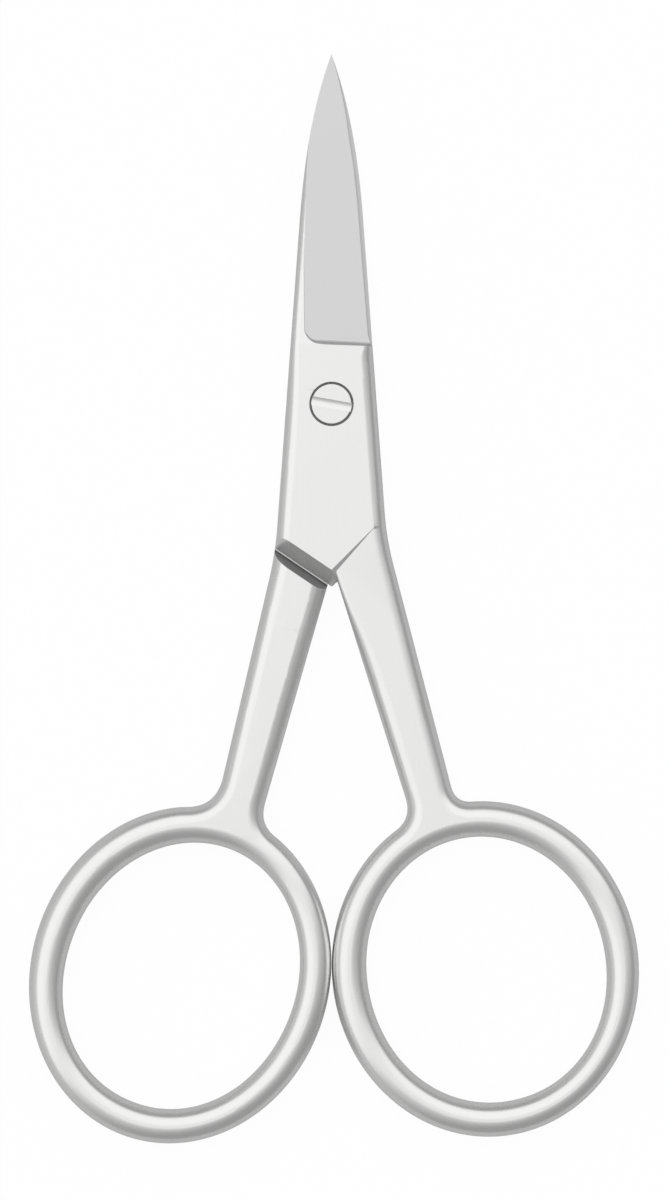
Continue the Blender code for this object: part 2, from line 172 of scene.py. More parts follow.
# Bands into which the shank is sliced over the fade, and bands of that width along the crease
FADE_STEPS = 30
CREASE_STEPS = 12

# The ring's side meets the shank's within this angle of the neck, found by halving it
NECK_REACH = math.radians(60.0)
HALVINGS = 40

# Points closer than the first are one, and points closer to a plane than the second lie on it
WELD = 0.0004 * MM
ON_PLANE = 0.0001 * MM

# Faces that turn by less than this angle are merged into one
FLAT = math.radians(0.03)

# Upward share of the way that a face looks, from which it counts as level or nearly level
LEVEL = 0.999999
NEARLY_LEVEL = 0.98

# Edges that turn by more than this angle stay sharp, and flat faces set the shading beside them
SHARP_ANGLE = math.radians(24.0)
FLAT_WEIGHT = 90

# How far cutters reach past the steel, and how much steel is left for the lap to take off
CUT = 5.0 * MM
SPARE = 0.20 * MM

# Heights in a half's own frame, whose origin is midway between the inner faces
INNER_FACE = FACE_GAP / 2
PLATE_TOP = INNER_FACE + PLATE_THICKNESS

# Grain of the steel: noise scales, the share of each noise in shade, roughness and height, how
# dark the steel gets at most, and the roughness of the faces that lie inside
CLOUD_SCALE = 180.0
FINE_SCALE = 9000.0
SHADE_LINES = 0.55
SHADE_CLOUDS = 0.45
DARKEST = 0.965
ROUGH_DROP = 0.03
ROUGH_LINES = 0.04
ROUGH_CLOUDS = 0.03
FINE_HEIGHT = 0.02
INNER_ROUGHNESS = 0.42

# The studio's light comes from overhead and from the side that this way points to. Each pair
# says where one brightness begins to pass into the next and where it has: along that way for
# the bright panel's edge and the fall past it, in height for the walls' upper edge, and from
# left to right for the left wall, which is brighter by the number after it.
WHITE = (1, 1, 1, 1)
LIGHT_WAY = Vector((-0.50, 0.866, 0.0))
PANEL_EDGE = (-0.22, -0.02)
FALL_EDGE = (-0.75, -0.15)
WALL_TOP = (0.47, 0.54)
LEFT_WALL = (-1.0, -0.2)
LEFT_WALL_BRIGHT = 0.26

# Floor and camera
FLOOR_REACH = 2.0
FLOOR_DROP = 0.02 * MM
FLOOR_GLOW = 1.06
SENSOR_HEIGHT = 36.0
NEAREST_SEEN = 0.01


class ScissorsForm(bpy.types.PropertyGroup):
    """Roundings of the edges, the slot's hollow floor and the plate's broken edge."""

    ring_round: bpy.props.FloatProperty(
        name="Ring rounding",
        description="Share of the finger rings' width that their edges round off",
        default=0.95, min=0.1, max=0.98, subtype="FACTOR")
    shank_round: bpy.props.FloatProperty(
        name="Shank rounding",
        description="Radius of the edges of the shanks",
        default=1.30 * MM, min=0.1 * MM, max=1.5 * MM, unit="LENGTH")
    crotch_round: bpy.props.FloatProperty(
        name="Crotch rounding",
        description="Radius that is left of the shank's inner edge beside the crease",
        default=0.35 * MM, min=0.1 * MM, max=1.5 * MM, unit="LENGTH")
    plate_round: bpy.props.FloatProperty(
        name="Plate rounding",
        description="Radius of the plate's side edges",
        default=1.10 * MM, min=0.1 * MM, max=1.5 * MM, unit="LENGTH")
    point_round: bpy.props.FloatProperty(
        name="Point rounding",
        description="Radius that is left of the spine's rounding at the point",
        default=0.15 * MM, min=0.02 * MM, max=0.5 * MM, unit="LENGTH")
    spine_round: bpy.props.FloatProperty(
        name="Spine rounding",
        description="Radius of the edge along the blade's spine",
        default=0.75 * MM, min=0.1 * MM, max=1.5 * MM, unit="LENGTH")
    ground_round: bpy.props.FloatProperty(
        name="Grind run-out",
        description="Radius of the run-out at the foot of the blade's ground face",
        default=0.50 * MM, min=0.05 * MM, max=1.0 * MM, unit="LENGTH")
    ground_side_round: bpy.props.FloatProperty(
        name="Grind side run-out",
        description="Radius of the run-out along the ground face's side",
        default=0.04 * MM, min=0.02 * MM, max=1.0 * MM, unit="LENGTH")
    slot_hollow: bpy.props.FloatProperty(
        name="Slot hollow",
        description="Radius of the hollow floor of the screw's slot",
        default=1.10 * MM, min=0.5 * MM, max=5.0 * MM, unit="LENGTH")
    end_break: bpy.props.FloatProperty(
        name="Broken edge",
        description="Width of the broken edge at the plate's lower end",
        default=0.12 * MM, min=0.02 * MM, max=0.3 * MM, unit="LENGTH")


class ScissorsFinish(bpy.types.PropertyGroup):
    """Colours and grain of the steel, of which the lapped and the milled colours are darkened as
    painted shade.
    """

    steel_colour: bpy.props.FloatVectorProperty(
        name="Steel colour", description="Colour of the satin steel",
        subtype="COLOR", default=(0.90, 0.90, 0.895), min=0.0, max=1.0)
    ground_colour: bpy.props.FloatVectorProperty(
        name="Ground colour", description="Colour of the blade's ground face",
        subtype="COLOR", default=(0.98, 0.98, 0.98), min=0.0, max=1.0)
    # Darker than the satin steel: painted shade on the inner faces that show beside the other blade
    # and in the grind's run-out
    lapped_painted_shade_colour: bpy.props.FloatVectorProperty(
        name="Lapped painted shade colour", description="Colour of the inner faces and of the grind's run-out",
        subtype="COLOR", default=(0.66, 0.66, 0.66), min=0.0, max=1.0)
    # Much darker than the satin steel: painted shade in the gap round the screw's head, in the
    # holes and on the shoulders
    milled_painted_shade_colour: bpy.props.FloatVectorProperty(
        name="Milled painted shade colour", description="Colour of the milled shoulders and the holes",
        subtype="COLOR", default=(0.43, 0.43, 0.43), min=0.0, max=1.0)
    screw_colour: bpy.props.FloatVectorProperty(
        name="Screw colour", description="Colour of the screw's steel",
        subtype="COLOR", default=(0.90, 0.90, 0.89), min=0.0, max=1.0)
    steel_roughness: bpy.props.FloatProperty(
        name="Satin roughness", description="Roughness of the satin steel",
        default=0.27, min=0.0, max=1.0, subtype="FACTOR")
    ground_roughness: bpy.props.FloatProperty(
        name="Ground roughness", description="Roughness of the blade's ground face",
        default=0.58, min=0.0, max=1.0, subtype="FACTOR")
    grain: bpy.props.FloatProperty(
        name="Grain depth", description="Depth of the fine brushing lines",
        default=0.0004 * MM, min=0.0, max=0.02 * MM, unit="LENGTH", precision=6)


class ScissorsStudio(bpy.types.PropertyGroup):
    """Light, floor and camera."""

    lens: bpy.props.FloatProperty(
        name="Lens", description="Focal length of the camera",
        default=250.0, min=50.0, max=500.0, unit="CAMERA")
    view_centre: bpy.props.FloatVectorProperty(
        name="View centre", description="Place on the object that the camera looks at",
        default=(0.247 * MM, -16.17 * MM, 3.3 * MM), subtype="TRANSLATION", unit="LENGTH")
    view_height: bpy.props.FloatProperty(
        name="View height", description="Height of the picture at that place",
        default=98.99 * MM, min=50.0 * MM, max=200.0 * MM, unit="LENGTH")
    sky_bright: bpy.props.FloatProperty(
        name="Sky brightness", description="Brightness of the studio overhead",
        default=1.03, min=0.0, max=2.0)
    sky_middle: bpy.props.FloatProperty(
        name="Edge brightness",
        description="Brightness of the studio just outside the soft light",
        default=0.54, min=0.0, max=2.0)
    sky_dark: bpy.props.FloatProperty(
        name="Wall brightness", description="Brightness of the studio at the floor's level",
        default=0.34, min=0.0, max=2.0)
    floor_colour: bpy.props.FloatVectorProperty(
        name="Floor colour", description="Colour of the studio floor",
        subtype="COLOR", default=(0.60, 0.60, 0.60), min=0.0, max=1.0)
    floor_white: bpy.props.FloatProperty(
        name="Floor whiteness",
        description="Share of plain white in the floor that the camera sees",
        default=0.90, min=0.0, max=1.0, subtype="FACTOR")
    floor_seen: bpy.props.FloatProperty(
        name="Reflected whiteness",
        description="Share of plain white in the floor that the steel sees",
        default=0.15, min=0.0, max=1.0, subtype="FACTOR")


def blend(start, corner, end, steps):
    """Points of a smooth bend from start to end that is drawn towards a corner."""
    points = []
    for step in range(steps + 1):
        t = step / steps
        points.append(start * (1 - t) ** 2 + corner * 2 * t * (1 - t) + end * t ** 2)
    return points


def crossing(point, direction, other, other_direction):
    """The place where two straight lines in the drawing plane cross."""
    across = direction.cross(other_direction)
    along = (other - point).cross(other_direction) / across
    return point + direction * along


def ease(value):
    """A smooth step from 0 to 1."""
    value = min(1.0, max(0.0, value))
    return value * value * (3 - 2 * value)


def side_half_width(height):
    """Half the width of plate and blade at a height, along their straight side."""
    return POINT_HALF_WIDTH + (BLADE_LENGTH - POINT_LENGTH - height) * math.tan(SIDE_FLARE)


def point_curve():
    """Half the blade's point as a smooth curve: half widths by height, to the tip."""
    start_height = BLADE_LENGTH - POINT_LENGTH
    reach = POINT_FULLNESS * POINT_LENGTH
    start = Vector((POINT_HALF_WIDTH, start_height))
    end = Vector((0.0, BLADE_LENGTH))
    start_pull = start + reach * Vector((-math.sin(SIDE_FLARE), math.cos(SIDE_FLARE)))
    end_pull = end + reach * Vector((math.sin(POINT_HALF_ANGLE), -math.cos(POINT_HALF_ANGLE)))
    points = []
    for step in range(CURVE_STEPS + 1):
        t = step / CURVE_STEPS
        point = start * (1 - t) ** 3 + end * t ** 3
        point += start_pull * 3 * t * (1 - t) ** 2 + end_pull * 3 * t ** 2 * (1 - t)
        points.append(point)
    return points


class Ring:
    """The ellipses of one finger ring: its hole and its outer side."""

    def __init__(self, values):
        self.values = values
        lean = values["lean"] - RING_UPRIGHT
        self.length_way = Vector((-math.sin(lean), math.cos(lean)))
        self.width_way = Vector((math.cos(lean), math.sin(lean)))
        self.outer_length = values["half_length"] + RING_END_BAND
        self.outer_width = values["half_width"] + RING_SIDE_BAND
        reach = math.hypot(self.outer_length * math.sin(lean), self.outer_width * math.cos(lean))
        self.outer_centre = Vector((reach + RING_GAP / 2, RING_LIFT - values["drop"]))
        self.hole_centre = self.outer_centre - Vector((values["inset"], RING_LIFT))

    def outer(self, angle):
        """The place on the outer side at an angle, counted from the ring's upper end."""
        place = self.length_way * self.outer_length * math.cos(angle)
        return self.outer_centre + place + self.width_way * self.outer_width * math.sin(angle)

    def outer_heading(self, angle):
        """Way and pace along the outer side at that angle."""
        heading = self.length_way * -self.outer_length * math.sin(angle)
        return heading + self.width_way * self.outer_width * math.cos(angle)

    def hole(self):
        """The hole's outline, an ellipse whose lower half is a little fuller."""
        lean = self.values["lean"]
        length_way = Vector((-math.sin(lean), math.cos(lean))) * self.values["half_length"]
        width_way = Vector((math.cos(lean), math.sin(lean))) * self.values["half_width"]
        points = []
        for step in range(RING_STEPS):
            along = math.cos(2 * math.pi * step / RING_STEPS)
            across = math.sin(2 * math.pi * step / RING_STEPS)
            if along < 0:
                along = -(-along) ** HOLE_FULLNESS
                across = math.copysign(abs(across) ** HOLE_FULLNESS, across)
            points.append(self.hole_centre + length_way * along + width_way * across)
        return points

    def meets(self, point, direction, side):
        """The angle at which the ring's outer side meets a line, near the neck."""
        near = self.values["neck"]
        far = near + side * NECK_REACH
        for _ in range(HALVINGS):
            middle = (near + far) / 2
            offset = (self.outer(middle) - point).cross(direction) * side
            if offset > 0:
                near = middle
            else:
                far = middle
        return near


def rounded(points, above, below):
    """Points with the radii of the edge above and below them, as four numbers."""
    return [Vector((point.x, point.y, above, below)) for point in points]


def rounded_ring(points, opposite, share):
    """Points whose radii follow the ring's width, measured to its opposite side."""
    places = []
    for point in points:
        radius = share * min((point - other).length for other in opposite) / 2
        places += rounded([point], radius, radius)
    return places


def handle_outline(ring, form):
    """The outline of shank and ring: down the outer side, round, and up inside."""
    root = Vector((ring.values["root_side"], -SHANK_ROOT_DROP))
    neck = ring.outer(ring.values["neck"])
    along = (neck - root).normalized()
    across = Vector((-along.y, along.x))
    top_outer = root + across * SHANK_ROOT_WIDTH / 2
    top_inner = root - across * SHANK_ROOT_WIDTH / 2
    outer_way = (neck + across * SHANK_NECK_WIDTH / 2 - top_outer).normalized()
    inner_way = (neck - across * SHANK_NECK_WIDTH / 2 - top_inner).normalized()

    flare = Vector((-math.sin(SIDE_FLARE), math.cos(SIDE_FLARE)))
    plate_side = Vector((side_half_width(0.0), 0.0))
    bend = crossing(plate_side, flare, top_outer, outer_way)
    tucked = bend + flare * TUCK_LENGTH - Vector((TUCK, 0))
    at_bend = [Vector((root.x, tucked.y)), tucked]
    at_bend += blend(bend + flare * SIDE_BEND, bend, bend + outer_way * SIDE_BEND, CURVE_STEPS)
    places = rounded(at_bend, form.plate_round, form.shank_round)

    outer_angle = ring.meets(top_outer, outer_way, 1)
    fillet = ring.values["outer_fillet"]
    corner = ring.outer(outer_angle)
    shank_side = [bend.lerp(corner, share) for share in OUTER_PLACES]
    places += rounded(shank_side, form.shank_round, form.shank_round)
    start_angle = outer_angle + fillet / ring.outer_heading(outer_angle).length
    at_neck = blend(corner - outer_way * fillet, corner, ring.outer(start_angle), CURVE_STEPS)

    inner_angle = ring.meets(top_inner, inner_way, -1)
    end_angle = 2 * math.pi + inner_angle
    end_angle -= INNER_FILLET / ring.outer_heading(inner_angle).length
    round_ring = [ring.outer(start_angle + (end_angle - start_angle) * step / RING_STEPS)
                  for step in range(1, RING_STEPS)]
    corner = ring.outer(inner_angle)
    shank_foot = corner - inner_way * INNER_FILLET
    round_neck = blend(ring.outer(end_angle), corner, shank_foot, CURVE_STEPS)
    places += rounded(at_neck, form.shank_round, form.shank_round)
    places += rounded_ring(round_ring, ring.hole(), form.ring_round)
    places += rounded(round_neck, form.shank_round, form.shank_round)

    shank_side = [corner.lerp(top_inner, share) for share in INNER_PLACES]
    places += rounded(shank_side, form.shank_round, form.shank_round)
    crotch_side = [corner.lerp(top_inner, CROTCH_PLACE), top_inner]
    places += rounded(crotch_side, form.crotch_round, form.shank_round)
    return places


def plate_outline(form):
    """The outline of blade and plate: up the spine, over the tip, down the edge."""
    bottom = -(PLATE_END + CUT)
    curve = point_curve()
    shoulder = BLADE_LENGTH - GROUND_LENGTH
    spine = [Vector((-side_half_width(bottom), bottom)), Vector((-side_half_width(0.0), 0.0))]
    places = rounded(spine, form.plate_round, 0.0)
    places += rounded([Vector((-side_half_width(shoulder), shoulder))], form.spine_round, 0.0)
    for point in curve:
        towards_tip = (point.y - curve[0].y) / (POINT_EASE * POINT_LENGTH)
        radius = form.spine_round + (form.point_round - form.spine_round) * ease(towards_tip)
        places += rounded([Vector((-point.x, point.y))], radius, 0.0)
    edge = []
    for point in reversed(curve[:-1]):
        overhang = SPINE_OVERHANG * min(1.0, 2 * (BLADE_LENGTH - point.y) / POINT_LENGTH)
        edge.append(Vector((max(point.x - overhang, point.x / 2), point.y)))
    edge.append(Vector((side_half_width(shoulder) - SPINE_OVERHANG, shoulder + 2 * SPINE_OVERHANG)))
    places += rounded(edge, form.point_round, 0.0)
    side = [Vector((side_half_width(shoulder), shoulder - SPINE_OVERHANG)),
            Vector((side_half_width(bottom), bottom))]
    places += rounded(side, form.plate_round, 0.0)
    return places


def even_loop(places, smoothing):
    """The same closed line with points at equal distances and with eased radii."""
    closed = places + places[:1]
    lengths = [0.0]
    for first, second in zip(closed, closed[1:]):
        lengths.append(lengths[-1] + (second.xy - first.xy).length)
    count = round(lengths[-1] / LOOP_STEP)
    evened = []
    piece = 0
    for step in range(count):
        along = lengths[-1] * step / count
        while lengths[piece + 1] < along:
            piece += 1
        share = (along - lengths[piece]) / (lengths[piece + 1] - lengths[piece])
        evened.append(closed[piece].lerp(closed[piece + 1], share))
    reach = round(smoothing / LOOP_STEP)
    eased = []
    for number, point in enumerate(evened):
        near = [evened[(number + shift) % count] for shift in range(-reach, reach + 1)]
        above = sum(other.z for other in near) / len(near)
        below = sum(other.w for other in near) / len(near)
        eased.append(Vector((point.x, point.y, above, below)))
    return eased


def inward_ways(loop):
    """At each point the way into the material, which lies on the line's left."""
    ways = []
    for number in range(len(loop)):
        heading = (loop[(number + 1) % len(loop)] - loop[number - 1]).xy.normalized()
        ways.append(Vector((-heading.y, heading.x)))
    return ways


def in_order(work):
    """The same solid with its points and faces in a set order.

    Extruding and cutting hand them back in an order that changes from run to run, and the
    steps that follow would then round and split a little differently each time.
    """
    corners = sorted(work.verts, key=lambda vert: vert.co[:])
    numbers = {vert: number for number, vert in enumerate(corners)}
    rings = []
    for face in work.faces:
        ring = [numbers[vert] for vert in face.verts]
        start = ring.index(min(ring))
        rings.append((ring[start:] + ring[:start], face.material_index))
    ordered = bmesh.new()
    verts = [ordered.verts.new(vert.co) for vert in corners]
    for ring, material in sorted(rings):
        face = ordered.faces.new([verts[number] for number in ring])
        face.material_index = material
    ordered.normal_update()
    work.free()
    return ordered


def rounded_solid(loops, half_height):
    """A flat solid whose edges are rounded by the radii that its outlines carry.

    Each point's third number is its radius above and its fourth the one below.
    """
    work = bmesh.new()
    place = work.verts.layers.int.new("place")
    for up, side in ((1, 2), (-1, 3)):
        rims = []
        for loop in loops:
            ways = inward_ways(loop)
            verts = [work.verts.new((point.x, point.y, 0)) for point in loop]
            for number, vert in enumerate(verts):
                vert[place] = number
            edges = [work.edges.new(pair) for pair in zip(verts, verts[1:] + verts[:1])]
            for step in range(ROUND_STEPS + 1):
                angle = math.pi / 2 * step / ROUND_STEPS
                grown = bmesh.ops.extrude_edge_only(work, edges=edges)["geom"]
                fresh = {item for item in grown if isinstance(item, bmesh.types.BMVert)}
                edges = [item for item in grown if isinstance(item, bmesh.types.BMEdge)
                         and fresh.issuperset(item.verts)]
                for vert in fresh:
                    point = loop[vert[place]]
                    inset = ways[vert[place]] * point[side] * (1 - math.cos(angle))
                    drop = point[side] * (1 - math.sin(angle))
                    vert.co = (point.x + inset.x, point.y + inset.y, up * (half_height - drop))
            rims += edges
        bmesh.ops.triangle_fill(work, use_beauty=True, edges=rims, normal=(0, 0, up))
    bmesh.ops.remove_doubles(work, verts=work.verts, dist=WELD)
    bmesh.ops.recalc_face_normals(work, faces=work.faces)
    return in_order(work)


def finished(work, name):
    """The working mesh as an object in the scene."""
    mesh = bpy.data.meshes.new(name)
    work = in_order(work)
    work.to_mesh(mesh)
    work.free()
    item = bpy.data.objects.new(name, mesh)
    bpy.context.scene.collection.objects.link(item)
    return item


def outward(turn, slope):
    """The normal of a lower end face that is turned from straight down and sloped."""
    level = Vector((math.sin(turn), -math.cos(turn), 0))
    return level * math.cos(slope) + Vector((0, 0, math.sin(slope)))


def trim(work, place, normal, edge_break=0.0):
    """Cuts away what lies past a plane, closes the cut and breaks its upper edge."""
    everything = work.verts[:] + work.edges[:] + work.faces[:]
    bmesh.ops.bisect_plane(work, geom=everything, dist=ON_PLANE, plane_co=place,
                           plane_no=normal, clear_outer=True)
    rim = [edge for edge in work.edges if edge.is_boundary]
    bmesh.ops.holes_fill(work, edges=rim)
    if edge_break:
        level = [edge for edge in rim if edge.is_valid
                 and min(vert.co.z for vert in edge.verts) > PLATE_TOP - 2 * ON_PLANE
                 and all(abs((vert.co - place).dot(normal)) < 2 * ON_PLANE for vert in edge.verts)]
        bmesh.ops.bevel(work, geom=level, offset=edge_break, offset_type="OFFSET",
                        affect="EDGES", segments=BREAK_SEGMENTS, profile=0.5, material=-1,
                        clamp_overlap=True)


def ground_height(side, height):
    """Height of the ground face over the inner face, a plane set by three places."""
    start = BLADE_LENGTH - GROUND_LENGTH
    edge_side = side_half_width(start) - SPINE_OVERHANG
    across = (EDGE_THICKNESS - SPINE_THICKNESS) / (edge_side + GROUND_INSET)
    at_start = SPINE_THICKNESS + across * GROUND_INSET
    along = (TIP_THICKNESS - at_start) / GROUND_LENGTH
    return at_start + across * side + along * (height - start)


def plate_blank(form):
    """Blade and plate, with a tapered blade, rounded sides and a pointed lower end.

    The crease's edge is broken a third as wide as the lower end's.
    """
    loop = even_loop(plate_outline(form), PLATE_EASE)
    loop.reverse()
    work = rounded_solid([loop], PLATE_TOP)
    shoulder = BLADE_LENGTH - GROUND_LENGTH
    taper = (SPINE_THICKNESS - ground_height(-GROUND_INSET, BLADE_LENGTH)) / GROUND_LENGTH
    everything = work.verts[:] + work.edges[:] + work.faces[:]
    bmesh.ops.bisect_plane(work, geom=everything, plane_co=(0, shoulder, 0), plane_no=(0, 1, 0))
    for vert in work.verts:
        if vert.co.z > 0 and vert.co.y > shoulder:
            vert.co.z -= taper * (vert.co.y - shoulder)
    end = Vector((0, -PLATE_END, PLATE_TOP))
    end_slope = math.atan2(PLATE_END_RUN, PLATE_THICKNESS)
    trim(work, Vector((0, 0, -SPARE)), Vector((0, 0, -1)))
    trim(work, end, outward(-PLATE_END_ANGLE, end_slope), form.end_break)
    trim(work, end, outward(CREASE_ANGLE, CREASE_SLOPE), form.end_break / 3)
    crease_run = CREASE_DEPTH * math.tan(CREASE_SLOPE)
    crease_foot = end + outward(CREASE_ANGLE, 0.0) * crease_run - Vector((0, 0, CREASE_DEPTH))
    trim(work, crease_foot, outward(CREASE_ANGLE, CREASE_FOOT_SLOPE))
    return work


def slice_across(work, place, normal):
    """Lays a line of points along a plane without cutting anything away."""
    everything = work.verts[:] + work.edges[:] + work.faces[:]
    bmesh.ops.bisect_plane(work, geom=everything, dist=ON_PLANE, plane_co=place, plane_no=normal)


def handle_blank(ring_values, form):
    """Shank and finger ring, raised a little where the plate's crease runs out."""
    ring = Ring(ring_values)
    outline = even_loop(handle_outline(ring, form), HANDLE_EASE)
    outline.reverse()
    outer_side = [ring.outer(2 * math.pi * step / RING_STEPS) for step in range(RING_STEPS)]
    hole = even_loop(rounded_ring(ring.hole(), outer_side, form.ring_round), 0.0)
    work = rounded_solid([outline, hole], SHANK_THICKNESS / 2)
    crease_way = (CREASE_END - CREASE_START).normalized()
    below_way = Vector((crease_way.y, -crease_way.x))
    level = [edge for edge in work.edges
             if all(face.normal.z > LEVEL for face in edge.link_faces)]
    bmesh.ops.dissolve_limit(work, angle_limit=FLAT, verts=[], edges=level)
    for way, steps in ((below_way, FADE_STEPS), (crease_way, CREASE_STEPS)):
        for number in range(1, steps):
            place = CREASE_START + way * CREASE_FADE * number / FADE_STEPS
            slice_across(work, place.to_3d(), way.to_3d())
    rise = CREASE_RISE * (PLATE_TOP - SHANK_THICKNESS / 2)
    for vert in work.verts:
        from_start = vert.co.xy - CREASE_START
        across = from_start.dot(crease_way) / (CREASE_END - CREASE_START).length
        below = from_start.dot(below_way) / CREASE_FADE
        if vert.co.z > 0 and below < 1:
            share = vert.co.z / (SHANK_THICKNESS / 2)
            vert.co.z += rise * share * min(1.0, max(0.0, across)) * (1 - ease(below))
    return work


def ground_cutter(form):
    """The cut of the blade's ground face, with its rounded run-out at the plate."""
    start = BLADE_LENGTH - GROUND_LENGTH
    corner = Vector((GROUND_CORNER, GROUND_CORNER))
    width = 2 * POINT_HALF_WIDTH + CUT
    length = GROUND_LENGTH + CUT
    outline = rounded([Vector((0, length)), Vector((0, 2 * GROUND_CORNER))],
                      form.ground_side_round, form.ground_side_round)
    for step in range(CURVE_STEPS + 1):
        share = step / CURVE_STEPS
        angle = math.pi + (math.pi / 2 - GROUND_SKEW) * share
        radius = form.ground_side_round * (1 - share) + form.ground_round * share
        point = corner + GROUND_CORNER * Vector((math.cos(angle), math.sin(angle)))
        outline += rounded([point], radius, radius)
    foot = Vector((width, -(width - GROUND_CORNER) * math.tan(GROUND_SKEW)))
    outline += rounded([foot, Vector((width, length))], form.ground_round, form.ground_round)
    depth = PLATE_THICKNESS + CUT
    loop = even_loop(outline, 0.0)
    work = rounded_solid([loop], depth)
    for face in work.faces:
        # The ground face takes the ground steel, and the run-out takes the lapped steel, whose
        # darker colour is painted shade
        face.material_index = int(face.normal.z > -NEARLY_LEVEL)
    place = Vector((-GROUND_INSET, start, INNER_FACE + ground_height(-GROUND_INSET, start)))
    side_way = Vector((1, 0, ground_height(1, 0) - ground_height(0, 0))).normalized()
    up_way = Vector((0, 1, ground_height(0, 1) - ground_height(0, 0))).normalized()
    normal = side_way.cross(up_way).normalized()
    up_way = normal.cross(side_way)
    turn = Matrix((side_way, up_way, normal)).transposed().to_4x4()
    matrix = Matrix.Translation(place) @ turn @ Matrix.Translation((0, 0, depth))
    bmesh.ops.transform(work, matrix=matrix, verts=work.verts)
    return work


def lap_cutter():
    """Everything behind the inner face, down to the shoulder of the shank."""
    size = 2 * BLADE_LENGTH + 2 * PLATE_END
    work = bmesh.new()
    bmesh.ops.create_cube(work, size=1.0)
    bmesh.ops.translate(work, verts=work.verts, vec=(0, 0.5, -0.5))
    depth = PLATE_THICKNESS + SHANK_THICKNESS
    bmesh.ops.scale(work, verts=work.verts, vec=(size, size, depth))
    lowest = [vert for vert in work.verts if vert.co.y < size / 2 and vert.co.z < -depth / 2]
    slope = SHOULDER_RUN / (SHANK_THICKNESS / 2 + INNER_FACE)
    bmesh.ops.translate(work, verts=lowest, vec=(0, -slope * depth, 0))
    work.normal_update()
    # The level face takes the lapped steel and the shoulder walls take the milled steel, both
    # darkened as painted shade
    for face in work.faces:
        face.material_index = int(face.normal.z < NEARLY_LEVEL)
    shoulder = PLATE_END + (PLATE_END_RUN + SHOULDER_GAP) / math.cos(PLATE_END_ANGLE)
    matrix = Matrix.Translation((0, -shoulder, INNER_FACE))
    matrix @= Matrix.Rotation(PLATE_END_ANGLE, 4, "Z")
    bmesh.ops.transform(work, matrix=matrix, verts=work.verts)
    return work


def turned(profile):
    """A solid turned about the pivot's axis from radii and heights, top to bottom."""
    work = bmesh.new()
    verts = [work.verts.new((radius, 0, height)) for radius, height in profile]
    edges = [work.edges.new(pair) for pair in zip(verts, verts[1:])]
    bmesh.ops.spin(work, geom=verts + edges, cent=(0, 0, 0), axis=(0, 0, 1),
                   angle=2 * math.pi, steps=TURN_STEPS, use_merge=True)
    bmesh.ops.remove_doubles(work, verts=work.verts, dist=WELD)
    bmesh.ops.recalc_face_normals(work, faces=work.faces)
    return work


def rounded_corner(radius, height, size):
    """Profile points of a rounded outer edge, from the level face to the upright one."""
    points = []
    for step in range(CORNER_STEPS + 1):
        angle = math.pi / 2 * step / CORNER_STEPS
        points.append((radius - size + size * math.sin(angle),
                       height - size + size * math.cos(angle)))
    return points


def bore(radius, bottom, top, flare=0.0, flare_height=0.0):
    """A cutter for a round hole, whose edge may be rounded out at the flare's height."""
    profile = [(0.0, top)]
    if flare:
        profile.append((radius + flare, top))
        for step in range(CORNER_STEPS + 1):
            angle = math.pi / 2 * step / CORNER_STEPS
            profile.append((radius + flare * (1 - math.sin(angle)),
                            flare_height - flare * (1 - math.cos(angle))))
    else:
        profile.append((radius, top))
    profile += [(radius, bottom), (0.0, bottom)]
    return turned(profile)


def slot_cutter(hollow, top):
    """The cut of the screw's slot, whose floor is a little hollow."""
    work = bmesh.new()
    bmesh.ops.create_grid(work, x_segments=1, y_segments=CURVE_STEPS, size=0.5)
    bmesh.ops.scale(work, verts=work.verts, vec=(4 * HEAD_RADIUS, SLOT_WIDTH, 1.0))
    for vert in work.verts:
        vert.co.z = vert.co.y ** 2 / (2 * hollow) - SLOT_DEPTH
    grown = bmesh.ops.extrude_face_region(work, geom=work.faces[:])["geom"]
    for item in grown:
        if isinstance(item, bmesh.types.BMVert):
            item.co.z = SLOT_DEPTH
    matrix = Matrix.Translation((0, 0, top)) @ Matrix.Rotation(SLOT_TURN, 4, "Z")
    bmesh.ops.transform(work, matrix=matrix, verts=work.verts)
    bmesh.ops.recalc_face_normals(work, faces=work.faces)
    return work


def join(item, operation, work, materials=()):
    """Adds or cuts a working solid, whose materials come along, and clears it away."""
    other = finished(work, "cutter")
    for material in materials:
        other.data.materials.append(material)
    step = item.modifiers.new("cut", "BOOLEAN")
    step.operation = operation
    step.solver = "EXACT"
    step.material_mode = "TRANSFER" if materials else "INDEX"
    step.object = other
    apply_modifiers(item)
    bpy.data.objects.remove(other, do_unlink=True)


def apply_modifiers(item):
    """Makes what the modifiers show the object's own mesh, in a set order."""
    bpy.context.view_layer.update()
    evaluated = item.evaluated_get(bpy.context.evaluated_depsgraph_get())
    mesh = bpy.data.meshes.new_from_object(evaluated)
    item.modifiers.clear()
    old = item.data
    item.data = mesh
    bpy.data.meshes.remove(old)
    work = bmesh.new()
    work.from_mesh(mesh)
    work = in_order(work)
    work.to_mesh(mesh)
    work.free()


def settle(item, name, matrix):
    """Places the mesh, cleans it and shades its rounded edges smoothly."""
    work = bmesh.new()
    work.from_mesh(item.data)
    bmesh.ops.transform(work, matrix=matrix, verts=work.verts)
    bmesh.ops.remove_doubles(work, verts=work.verts, dist=WELD)
    bmesh.ops.dissolve_degenerate(work, edges=work.edges, dist=WELD)
    bmesh.ops.dissolve_limit(work, angle_limit=FLAT, verts=work.verts, edges=work.edges,
                             delimit={"MATERIAL"})
    bmesh.ops.recalc_face_normals(work, faces=work.faces)
    work.to_mesh(item.data)
    work.free()
    item.data.name = name
    item.data.shade_smooth()
    item.data.set_sharp_from_angle(angle=SHARP_ANGLE)
    weighted = item.modifiers.new("flat faces first", "WEIGHTED_NORMAL")
    weighted.keep_sharp = True
    weighted.weight = FLAT_WEIGHT


